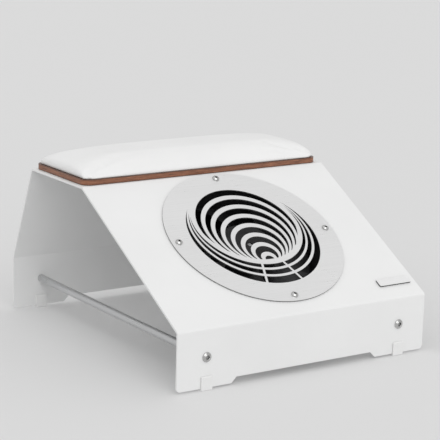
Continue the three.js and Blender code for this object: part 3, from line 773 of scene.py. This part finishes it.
def crossing(a, b, side):
    """The point where two circles (x, y, radius) on the middle line cross, on one side of it."""
    (_, ay, ar), (_, by, br) = a, b
    y = (ar**2 - br**2 + by**2 - ay**2) / (2 * (by - ay))
    inside = ar**2 - (y - ay) ** 2
    return None if inside <= 0 else Vector((side * math.sqrt(inside), y))


def arc_between(ring, start, end, through_top, steps):
    """Points of a circle from start to end, over its top or under its foot."""
    x, y, radius = ring
    first = math.atan2(start.y - y, start.x - x)
    last = math.atan2(end.y - y, end.x - x)
    pole = math.pi / 2 if through_top else -math.pi / 2
    first = pole + math.remainder(first - pole, 2 * math.pi)
    last = pole + math.remainder(last - pole, 2 * math.pi)
    return arc((x, y), radius, first, last, steps)


def nest_outline(index):
    """One opening of the nest: between two rings that nearly touch at their feet, over the cradle."""
    outer = FIRST_RING - 2 * index * RING_STEP
    inner = outer - RING_STEP
    a = (0, RING_FOOT + RING_OVERLAP + outer, outer)
    b = (0, RING_FOOT - RING_OVERLAP + inner, inner)
    cradle = (0, CRADLE_Y, CRADLE_RADIUS)
    steps = 90
    a_left, a_right = crossing(a, cradle, -1), crossing(a, cradle, 1)
    points = arc_between(a, a_left, a_right, True, steps)
    b_left, b_right = crossing(b, cradle, -1), crossing(b, cradle, 1)
    if b_left is None:
        return points + arc_between(cradle, a_right, a_left, False, 12)[1:-1]
    points += arc_between(cradle, a_right, b_right, False, 6)[1:-1]
    points += arc_between(b, b_right, b_left, True, steps)
    return points + arc_between(cradle, b_left, a_left, False, 6)[1:-1]


def ring_through(tip_x, tip_y, low):
    centre = (tip_x**2 + tip_y**2 - low**2) / (2 * (tip_y - low))
    return (0, centre, centre - low)


def ring_meets_line(ring, direction, offset):
    """Where a circle meets the line beside a bridge, on the lower side."""
    across = Vector((-direction.y, direction.x))
    start = across * offset - Vector(ring[:2])
    along = start.dot(direction)
    reach = -along + math.sqrt(along**2 - start.length_squared + ring[2] ** 2)
    return across * offset + direction * reach


def crescent_outlines(tip_x, tip_y, outer_low, inner_low):
    """A lower crescent, split in three by its two bridges."""
    outer, inner = ring_through(tip_x, tip_y, outer_low), ring_through(tip_x, tip_y, inner_low)
    left, right = Vector((-tip_x, tip_y)), Vector((tip_x, tip_y))
    edges = []
    for side in (-1, 1):
        direction = Vector((side * math.sin(BRIDGE_ANGLE), -math.cos(BRIDGE_ANGLE)))
        for offset in (-BRIDGE_WIDTH / 2, BRIDGE_WIDTH / 2):
            edges.append([ring_meets_line(ring, direction, offset) for ring in (outer, inner)])
    edges.sort(key=lambda pair: pair[0].x)
    steps = 60
    stretches = [((left, left), edges[0]), (edges[1], edges[2]), (edges[3], (right, right))]
    outlines = []
    for (from_outer, from_inner), (to_outer, to_inner) in stretches:
        points = arc_between(outer, from_outer, to_outer, False, steps)
        points += arc_between(inner, to_inner, from_inner, False, steps)
        outlines.append(points)
    return outlines


def without_repeats(points):
    return [p for i, p in enumerate(points) if math.dist(p, points[i - 1]) > 1e-3]


def grille():
    openings = [nest_outline(index) for index in range(RING_COUNT)]
    for crescent in CRESCENTS:
        openings += crescent_outlines(*crescent)
    openings = [turned_outline(without_repeats(points), GRILLE_TURN) for points in openings]
    bore = 2.2
    holes = [circle(x, y, bore, 24) for x, y in GRILLE_SCREWS.values()]
    loops = [circle(0, 0, GRILLE_RADIUS, 192), *holes, *openings]
    made = slab(loops, GAP, GAP + GRILLE_THICKNESS, rim=0.15, rim_loops=[0])
    piece("grille_disc", made, SLOPE, "brushed_steel", ["grille_plate"])
    outline = rectangle(*NAMEPLATE_HALF, 1, *NAMEPLATE_PLACE)
    plate = slab([outline], GAP, GAP + NAMEPLATE_THICKNESS, rim=0.15)
    piece("blank_plate", plate, SLOPE, "satin_aluminium", ["nameplate"])


# --- fasteners


def domed_screw(head, height, shank, length, socket, sides=48):
    """A domed head with a hexagon socket, its seat at z = 0, and a plain shank."""

    def hexagon(radius, z):
        points = []
        for i in range(sides):
            angle = 2 * math.pi * i / sides
            corner = math.remainder(angle - math.pi / 6, math.pi / 3)
            reach = radius * math.cos(math.pi / 6) / math.cos(corner)
            points.append((reach * math.cos(angle), reach * math.sin(angle), z))
        return points

    def ring_of(radius, z):
        return [(x, y, z) for x, y in circle(0, 0, radius, sides)]

    made = bmesh.new()
    floor = 0.3 * height
    dome = [(math.cos(a), math.sin(a)) for a in (math.radians(d) for d in range(0, 71, 10))]
    rim = 0.18 * height
    levels = [ring_of(shank, -length), ring_of(shank, 0), ring_of(head - 0.15, 0), ring_of(head, 0.15)]
    levels += [ring_of(head * x, rim + (height - rim) * z) for x, z in dome if head * x > socket + 0.5]
    levels += [
        ring_of(socket + 0.35, height * 0.985),
        hexagon(socket + 0.12, height * 0.97),
        hexagon(socket - 0.05, height * 0.9),
        hexagon(socket - 0.05, floor),
    ]
    rings = [[made.verts.new((0, 0, -length))]]
    rings += [[made.verts.new(p) for p in level] for level in levels]
    rings.append([made.verts.new((0, 0, floor - 0.25 * socket))])
    for a, b in zip(rings, rings[1:]):
        bridge(made, a, b)
    bmesh.ops.recalc_face_normals(made, faces=made.faces)
    return made


def screws():
    seat = GAP + GRILLE_THICKNESS + SCREW_CLEARANCE
    for i, (name, (x, y)) in enumerate(GRILLE_SCREWS.items()):
        place = SLOPE @ Matrix.Translation((x, y, seat)) @ Matrix.Rotation(0.4 + 0.7 * i, 4, "Z")
        made = domed_screw(*GRILLE_SCREW)
        piece(f"grille_bolt_{name}", made, place, "screw_steel", [f"grille_screw_{name}"])
    for side, x in (("left", -ROD_X), ("right", ROD_X)):
        for end, face, out in (("front", 0, -1), ("rear", DEPTH, 1)):
            turn = Matrix.Rotation(-out * math.pi / 2, 4, "X") @ Matrix.Rotation(0.3 + x / 200, 4, "Z")
            place = STAND @ Matrix.Translation((x, face + out * SCREW_CLEARANCE, ROD_Z)) @ turn
            made = domed_screw(*ROD_SCREW)
            piece(f"skirt_bolt_{end}_{side}", made, place, "screw_steel", [f"rod_screw_{end}_{side}"])
    under = TOP_HEIGHT - SHEET - SCREW_CLEARANCE
    for i, (x, y) in enumerate(ARMREST_SCREWS):
        place = STAND @ Matrix.Translation((x, ARMREST_Y + y, under)) @ Matrix.Rotation(math.pi, 4, "X")
        made = domed_screw(*ARMREST_SCREW)
        piece(f"board_screw_{i + 1}", made, place, "screw_steel", [f"armrest_screw_{i + 1}"])
    for i, x in enumerate((-INLET_SCREW_X, INLET_SCREW_X)):
        place = INLET @ Matrix.Translation((x, 0, INLET_SCREW_SEAT))
        made = domed_screw(*INLET_SCREW)
        piece(f"inlet_bolt_{i + 1}", made, place, "screw_steel", [f"inlet_screw_{i + 1}"])


def rods():
    length = DEPTH - 2 * SHEET - 2 * GAP
    chamfer = 0.4
    profile = [(0, ROD_BORE_DEPTH), (ROD_BORE, ROD_BORE_DEPTH), (ROD_BORE, 0)]
    profile += [(ROD_RADIUS - chamfer, 0), (ROD_RADIUS, chamfer)]
    profile += [(radius, length - z) for radius, z in reversed(profile)]
    for side, x in (("left", -ROD_X), ("right", ROD_X)):
        place = STAND @ Matrix.Translation((x, SHEET + GAP, ROD_Z)) @ Matrix.Rotation(-math.pi / 2, 4, "X")
        piece(f"cross_rod_{side}", lathe(profile, 64), place, "rod_steel", [f"tie_rod_{side}"])


# --- the armrest


def armrest_outline(inset, steps):
    half_x = WIDTH / 2 - BOARD_INSET - inset
    half_y = (BOARD_REAR_Y - BOARD_FRONT_Y) / 2 - inset
    return half_x, half_y, rectangle(half_x, half_y, BOARD_CORNER, steps=steps)


def board():
    plies = slab([armrest_outline(0, 16)[2]], 0, BOARD_THICKNESS, rim=0.5, rim_steps=3)
    bore, depth = 1.9, 4.5
    drills = [slab([circle(x, y, bore, 20)], -1, depth) for x, y in ARMREST_SCREWS]
    piece("armrest_wood", combined("DIFFERENCE", plies, *drills), ARMREST, "stained_wood", ["armrest_board"])


def cushion_height(x, y, half_x, half_y, crown):
    lengthwise = max(0, 1 - abs(x / half_x) ** 4) ** 0.3
    across = max(0, 1 - abs(y / half_y) ** 4.6) ** 1.5
    return CUSHION_EDGE + (crown - CUSHION_EDGE) * lengthwise * across


def cushion_form(inset, crown):
    """The pad's closed form, from its flat underside up to its crown."""
    half_x, half_y, outline = armrest_outline(CUSHION_INSET + inset, 10)
    outline = without_repeats(outline)
    dense = []
    spacing = 4
    for (ax, ay), (bx, by) in zip(outline, outline[1:] + outline[:1]):
        parts = max(1, round(math.dist((ax, ay), (bx, by)) / spacing))
        dense += [(ax + (bx - ax) * i / parts, ay + (by - ay) * i / parts) for i in range(parts)]
    made = bmesh.new()
    rings = [[made.verts.new((0, 0, 0))]]
    edge = [(0.996, 0), (0.999, 0.4), (1, 1.2), (1, 2), (0.9995, CUSHION_EDGE)]
    for share, height in edge:
        rings.append([made.verts.new((x * share, y * share, height)) for x, y in dense])
    steps = 29
    for i in range(1, steps):
        share = math.cos(math.pi / 2 * i / steps) ** 0.8
        level = [(x * share, y * share) for x, y in dense]
        rings.append([made.verts.new((x, y, cushion_height(x, y, half_x, half_y, crown))) for x, y in level])
    rings.append([made.verts.new((0, 0, crown))])
    for a, b in zip(rings, rings[1:]):
        bridge(made, a, b)
    bmesh.ops.recalc_face_normals(made, faces=made.faces)
    return made


def swollen(made, voxel, pressure, cap, frames=20):
    """A pad blown up as cloth from a smaller form; its underside stays where it rests."""
    made.transform(Matrix.Scale(MM, 4))
    held = solid_object(made)
    bpy.context.view_layer.objects.active = held
    remesh = held.modifiers.new("remesh", "REMESH")
    remesh.mode, remesh.voxel_size = "VOXEL", voxel * MM
    bpy.ops.object.modifier_apply(modifier="remesh")
    start = [v.co.copy() for v in held.data.vertices]
    resting = held.vertex_groups.new(name="resting")
    resting.add([i for i, co in enumerate(start) if co.z < 1.2 * MM], 1, "REPLACE")
    cloth = held.modifiers.new("cloth", "CLOTH")
    cloth.settings.quality = 5
    cloth.settings.use_pressure = True
    cloth.settings.uniform_pressure_force = pressure
    cloth.settings.vertex_group_mass = "resting"
    cloth.settings.effector_weights.gravity = 0
    cloth.point_cache.frame_start, cloth.point_cache.frame_end = 1, frames
    for frame_number in range(1, frames + 1):
        bpy.context.scene.frame_set(frame_number)
    bpy.ops.object.modifier_apply(modifier="cloth")
    bpy.context.scene.frame_set(1)
    for vertex, before in zip(held.data.vertices, start):
        shift = vertex.co - before
        if shift.length > cap * MM:
            vertex.co = before + shift.normalized() * cap * MM
    swelled = bmesh.new()
    swelled.from_mesh(held.data)
    bpy.data.meshes.remove(held.data)
    swelled.transform(Matrix.Scale(1 / MM, 4))
    return swelled


def cushion():
    swell = 1.4
    made = swollen(cushion_form(0.6, CUSHION_CROWN - swell), voxel=2.5, pressure=4, cap=swell)
    place = ARMREST @ Matrix.Translation((0, 0, BOARD_THICKNESS + 0.05))
    held = piece("cushion_cover", made, place, "white_leather", ["armrest_cushion"], sharp=180)
    smooth = held.modifiers.new("subdivision", "SUBSURF")
    smooth.levels = smooth.render_levels = 1


# --- the fan and the bag


def eared_outline(outer):
    """A ring's outline with an ear at each grille screw."""
    points = []
    steps = 288
    for i in range(steps):
        angle = 2 * math.pi * i / steps
        reach = outer
        for x, y in GRILLE_SCREWS.values():
            off = math.remainder(angle - math.atan2(y, x), 2 * math.pi)
            across = GRILLE_SCREW_CIRCLE * math.sin(off)
            if abs(across) < EAR_RADIUS and math.cos(off) > 0:
                ear = GRILLE_SCREW_CIRCLE * math.cos(off) + math.sqrt(EAR_RADIUS**2 - across**2)
                reach = max(reach, ear)
        points.append((reach * math.cos(angle), reach * math.sin(angle)))
    return points


def fan_housing():
    holes = [circle(x, y, GRILLE_SCREW_HOLE, 20) for x, y in GRILLE_SCREWS.values()]
    loops = [eared_outline(FLANGE_RADIUS), circle(0, 0, AIR_RADIUS, 128), *holes]
    flange = slab(loops, FLANGE_BOTTOM, FLANGE_TOP)
    top, chamfer = FLANGE_TOP - 0.5, 0.6
    inner = [(AIR_RADIUS, top), (AIR_RADIUS, DUCT_BOTTOM + chamfer), (AIR_RADIUS + chamfer, DUCT_BOTTOM)]
    outer = [(DUCT_OUTER - chamfer, DUCT_BOTTOM), (DUCT_OUTER, DUCT_BOTTOM + chamfer), (DUCT_OUTER, top)]
    duct = lathe(inner + outer, 128, closed=True)
    piece("fan_frame", combined("UNION", flange, duct), SLOPE, "black_plastic", ["fan_housing"])


def motor_mount():
    strut = (MOTOR_BASE - 3, -3, DUCT_BOTTOM + 0.01), (AIR_RADIUS - GAP, 3, STRUT_TOP)
    struts = [moved(box(*strut), Matrix.Rotation(i * 2 * math.pi / 3 + 0.5, 4, "Z")) for i in range(3)]
    bore = BEARING_RADIUS + GAP
    foot, chamfer = DUCT_BOTTOM - 1, 0.8
    profile = [(bore, foot), (MOTOR_BASE - chamfer, foot), (MOTOR_BASE, foot + chamfer)]
    profile += [(MOTOR_BASE, STRUT_TOP), (BEARING_TUBE, STRUT_TOP)]
    profile += [(BEARING_TUBE, BEARING_TUBE_TOP), (bore, BEARING_TUBE_TOP)]
    tube = lathe(profile, 64, closed=True)
    piece("motor_spider", combined("UNION", tube, *struts), SLOPE, "black_plastic", ["motor_mount"])


def blade_point(u, v, lift):
    """A point of a blade's surface: u from hub to tip, v from its leading to its trailing edge."""
    root = HUB_RADIUS - 1
    radius = root + (BLADE_TIP - root) * u
    sweep, wrap = 0.18, 0.68
    lead, depth, drop = -14.5, 27 - 11 * u, 2.5
    angle = sweep * u**2 - wrap * v
    z = lead - depth * v**1.25 - drop * u + lift
    return (radius * math.cos(angle), radius * math.sin(angle), z)


def fan_blade():
    across, along, thickness = 12, 16, 1.8
    made = bmesh.new()
    skins = []
    for lift in (0, -1):
        rows = []
        for i in range(across + 1):
            u = i / across
            row = []
            for j in range(along + 1):
                v = j / along
                thin = thickness * (0.35 + 0.65 * math.sin(math.pi * min(1, 0.12 + 0.8 * v)))
                row.append(made.verts.new(blade_point(u, v, lift * thin)))
            rows.append(row)
        skins.append(rows)
    top, under = skins
    for i in range(across):
        for j in range(along):
            made.faces.new((top[i][j], top[i][j + 1], top[i + 1][j + 1], top[i + 1][j]))
            made.faces.new((under[i][j], under[i + 1][j], under[i + 1][j + 1], under[i][j + 1]))
    rim = [(i, 0) for i in range(across)] + [(across, j) for j in range(along)]
    rim += [(i, along) for i in range(across, 0, -1)] + [(0, j) for j in range(along, 0, -1)]
    for (a, b), (c, d) in zip(rim, rim[1:] + rim[:1]):
        made.faces.new((top[a][b], top[c][d], under[c][d], under[a][b]))
    bmesh.ops.recalc_face_normals(made, faces=made.faces)
    return made


def fan_rotor():
    wall, bore, boss, boss_height = 2, 2.8, 5.5, 6
    shell = HUB_RADIUS - wall
    profile = [(bore, HUB_TOP), (bore, HUB_TOP - boss_height), (boss, HUB_TOP - boss_height)]
    profile += [(boss, HUB_TOP - wall), (shell, HUB_TOP - wall)]
    profile += [(shell, HUB_BOTTOM), (HUB_RADIUS, HUB_BOTTOM)]
    crown = [(0, 3), (0.5, 1.5), (1.5, 0.5), (3, 0)]
    profile += [(HUB_RADIUS - inward, HUB_TOP - below) for inward, below in crown]
    hub = lathe(profile, 96, closed=True)
    blades = [moved(fan_blade(), Matrix.Rotation(i * 2 * math.pi / BLADES, 4, "Z")) for i in range(BLADES)]
    made = combined("UNION", hub, *blades)
    piece("impeller", made, SLOPE, "black_plastic", ["fan_rotor"], body="fan")


def outlet_guard():
    top = DUCT_BOTTOM - 1 - GAP
    bottom = top - 2
    plate, arm_half, arm_reach = 14, 1.2, 76

    def bar_ring(outer, inner, sides):
        return lathe([(inner, bottom), (outer, bottom), (outer, top), (inner, top)], sides, closed=True)

    middle = lathe([(0, bottom), (plate, bottom), (plate, top), (0, top)], 64)
    arm = (plate - 4, -arm_half, bottom + 0.1), (arm_reach, arm_half, top - 0.1)
    arms = [moved(box(*arm), Matrix.Rotation(i * math.pi / 2 + 0.3, 4, "Z")) for i in range(4)]
    made = combined("UNION", bar_ring(79, 74.5, 128), middle, bar_ring(46.2, 43.8, 96), *arms)
    piece("guard", made, SLOPE, "black_plastic", ["outlet_guard"])


def profile_point(rows, share):
    at = share * (len(rows) - 1)
    i = min(int(at), len(rows) - 2)
    (r0, z0), (r1, z1) = rows[i], rows[i + 1]
    return r0 + (r1 - r0) * (at - i), z0 + (z1 - z0) * (at - i)


def bag_side_point(angle, share):
    """Pleats at the gathered mouth fade out down the side, which is slack between mouth and seam."""
    radius, z = profile_point(BAG_SIDE, share)
    c, s = math.cos(angle), math.sin(angle)
    wander = noise.noise(Vector((3 * c, 3 * s, 1.7)))
    slack = noise.noise(Vector((1.6 * c, 1.6 * s, 3 * share)))
    crease = noise.noise(Vector((7 * c, 7 * s, 2.2 * share + 9)))
    pleats, puckers = 44, 70
    pleat = 1 + math.sin(angle * pleats + 3 * wander)
    free = math.sin(math.pi * share)
    gathered = math.exp(-(((share - 0.1) / 0.22) ** 2))
    pucker = 0.35 * math.sin(angle * puckers + 5 * wander) * math.exp(-(((1 - share) / 0.12) ** 2))
    radius -= 0.75 * gathered * pleat + (2.2 * abs(slack) + 1.1 * crease) * free - pucker
    return Vector((radius * c, radius * s, z))


def bag_base_point(angle, share):
    """The base hangs a little below its seam, more on its low side."""
    radius, z = profile_point(BAG_BASE, share)
    c, s = math.cos(angle), math.sin(angle)
    slack = noise.noise(Vector((radius * c / 30, radius * s / 30, 5.1)))
    free = min(1, 3 * share)
    return Vector((radius * c, radius * s, z + 1.3 * slack * free - 0.6 * free * (1 - s)))


def dust_bag():
    around, down, in_base = 352, 48, 16
    made = bmesh.new()
    lengths = made.loops.layers.uv.new("UVMap")
    angles = [2 * math.pi * i / around for i in range(around)]
    side = [[bag_side_point(angle, j / down) for angle in angles] for j in range(down + 1)]
    base = [[bag_base_point(angle, j / in_base) for angle in angles] for j in range(in_base)]
    skins = []
    for inset in (0, BAG_CLOTH):
        rings = []
        for rows, lift in ((side, 0), (base, inset)):
            for row in rows:
                places = [(*(p.xy * (1 - inset / p.xy.length)), p.z + lift) for p in row]
                rings.append([made.verts.new(place) for place in places])
        rings.append([made.verts.new((0, 0, bag_base_point(0, 1).z + inset))])
        skins.append(rings)
    for rings in skins:
        for a, b in zip(rings, rings[1:]):
            bridge(made, a, b)
    bridge(made, skins[0][0], skins[1][0])
    bmesh.ops.recalc_face_normals(made, faces=made.faces)
    seam = BAG_SIDE[-1][1] - 0.4
    for face in made.faces:
        middle = face.calc_center_median()
        turn = math.atan2(middle.y, middle.x)
        for loop in face.loops:
            x, y, z = loop.vert.co
            if middle.z < seam:
                loop[lengths].uv = (x, y)
            else:
                off = math.remainder(math.atan2(y, x) - turn, 2 * math.pi)
                loop[lengths].uv = ((turn + off) * BAG_SIDE[0][0], 1.25 * z)
    piece("bag_shell", made, SLOPE, "bag_cloth", ["dust_bag", "bag_base"], sharp=120)
    rows = [(79.4, -50), (79.9, -49.4), (80.1, -47), (79.9, -44.6), (79.4, -44), (76.8, -44), (76.8, -50)]
    piece("elastic_band", lathe(rows, 128, closed=True), SLOPE, "black_rubber", ["bag_band"])


# --- floor, light and camera


def sun(name, strength, angle, place):
    """A soft sun; its strength is what it adds to a white sheet that faces it."""
    lamp = bpy.data.lights.new(name, "SUN")
    lamp.energy = strength * math.pi
    lamp.angle = math.radians(angle)
    held = placed(name, lamp)
    held.rotation_mode = "QUATERNION"
    held.rotation_quaternion = Vector(place).to_track_quat("Z", "Y")


def stage():
    made = bmesh.new()
    bmesh.ops.create_grid(made, x_segments=1, y_segments=1, size=20)
    floor = solid_object(made, "floor")
    tone = 0.618
    paper = Finish("paper", (tone,) * 3, 0.9, specular=0.1)
    shades = [(0.0, (tone - 0.002,) * 3), (1.0, (tone + 0.002,) * 3)]
    paper.color(paper.ramp(paper.noise(0.7, 2.0), shades))
    paper.set(Emission_Color=(1, 1, 1, 1), Emission_Strength=0.13)
    floor.data.materials.append(paper.material)

    world = bpy.data.worlds.new("studio")
    world.use_nodes = True
    tree = world.node_tree
    sky = tree.nodes.new("ShaderNodeTexCoord")
    height = tree.nodes.new("ShaderNodeSeparateXYZ")
    tree.links.new(sky.outputs["Generated"], height.inputs["Vector"])
    levels = tree.nodes.new("ShaderNodeValToRGB")
    for element, (at, glow) in zip(levels.color_ramp.elements, [(0.0, 0.66), (0.85, 0.73)]):
        element.position = at
        element.color = (glow, glow, glow, 1)
    tree.links.new(height.outputs["Z"], levels.inputs["Fac"])
    tree.links.new(levels.outputs["Color"], tree.nodes["Background"].inputs["Color"])
    bpy.context.scene.world = world
    sun("front_key", 0.272, 50, (-0.196, -0.784, 0.588))
    sun("left_fill", 0.06, 60, (-0.42, -0.1, 0.9))


# The camera, in degrees, metres and, for its lens and sensor, millimetres
CAMERA_AZIMUTH = -34.076
CAMERA_ELEVATION = 12.824
CAMERA_ROLL = 1.579
CAMERA_DISTANCE = 2.1948
CAMERA_TARGET = Vector((0.22456, 0.32148, 0.02805))
CAMERA_LENS = 142.6664
CAMERA_SENSOR = 36


def camera():
    azimuth, elevation = math.radians(CAMERA_AZIMUTH), math.radians(CAMERA_ELEVATION)
    level_share = math.cos(elevation)
    back = Vector((math.sin(azimuth) * level_share, -math.cos(azimuth) * level_share, math.sin(elevation)))
    lens = bpy.data.cameras.new("camera")
    lens.sensor_width = CAMERA_SENSOR
    lens.lens = CAMERA_LENS
    lens.clip_end = 100
    held = placed("camera", lens)
    level = (-back).to_track_quat("-Z", "Y").to_matrix()
    turned = level @ Matrix.Rotation(math.radians(CAMERA_ROLL), 3, "Z")
    held.rotation_mode = "QUATERNION"
    held.rotation_quaternion = turned.to_quaternion()
    held.location = CAMERA_TARGET + back * CAMERA_DISTANCE
    bpy.context.scene.camera = held


camera()
stage()
carried_over()
bent_sheet()
grille()
screws()
rods()
board()
cushion()
fan_housing()
motor_mount()
fan_rotor()
outlet_guard()
dust_bag()

bpy.context.scene.view_settings.view_transform = "Standard"
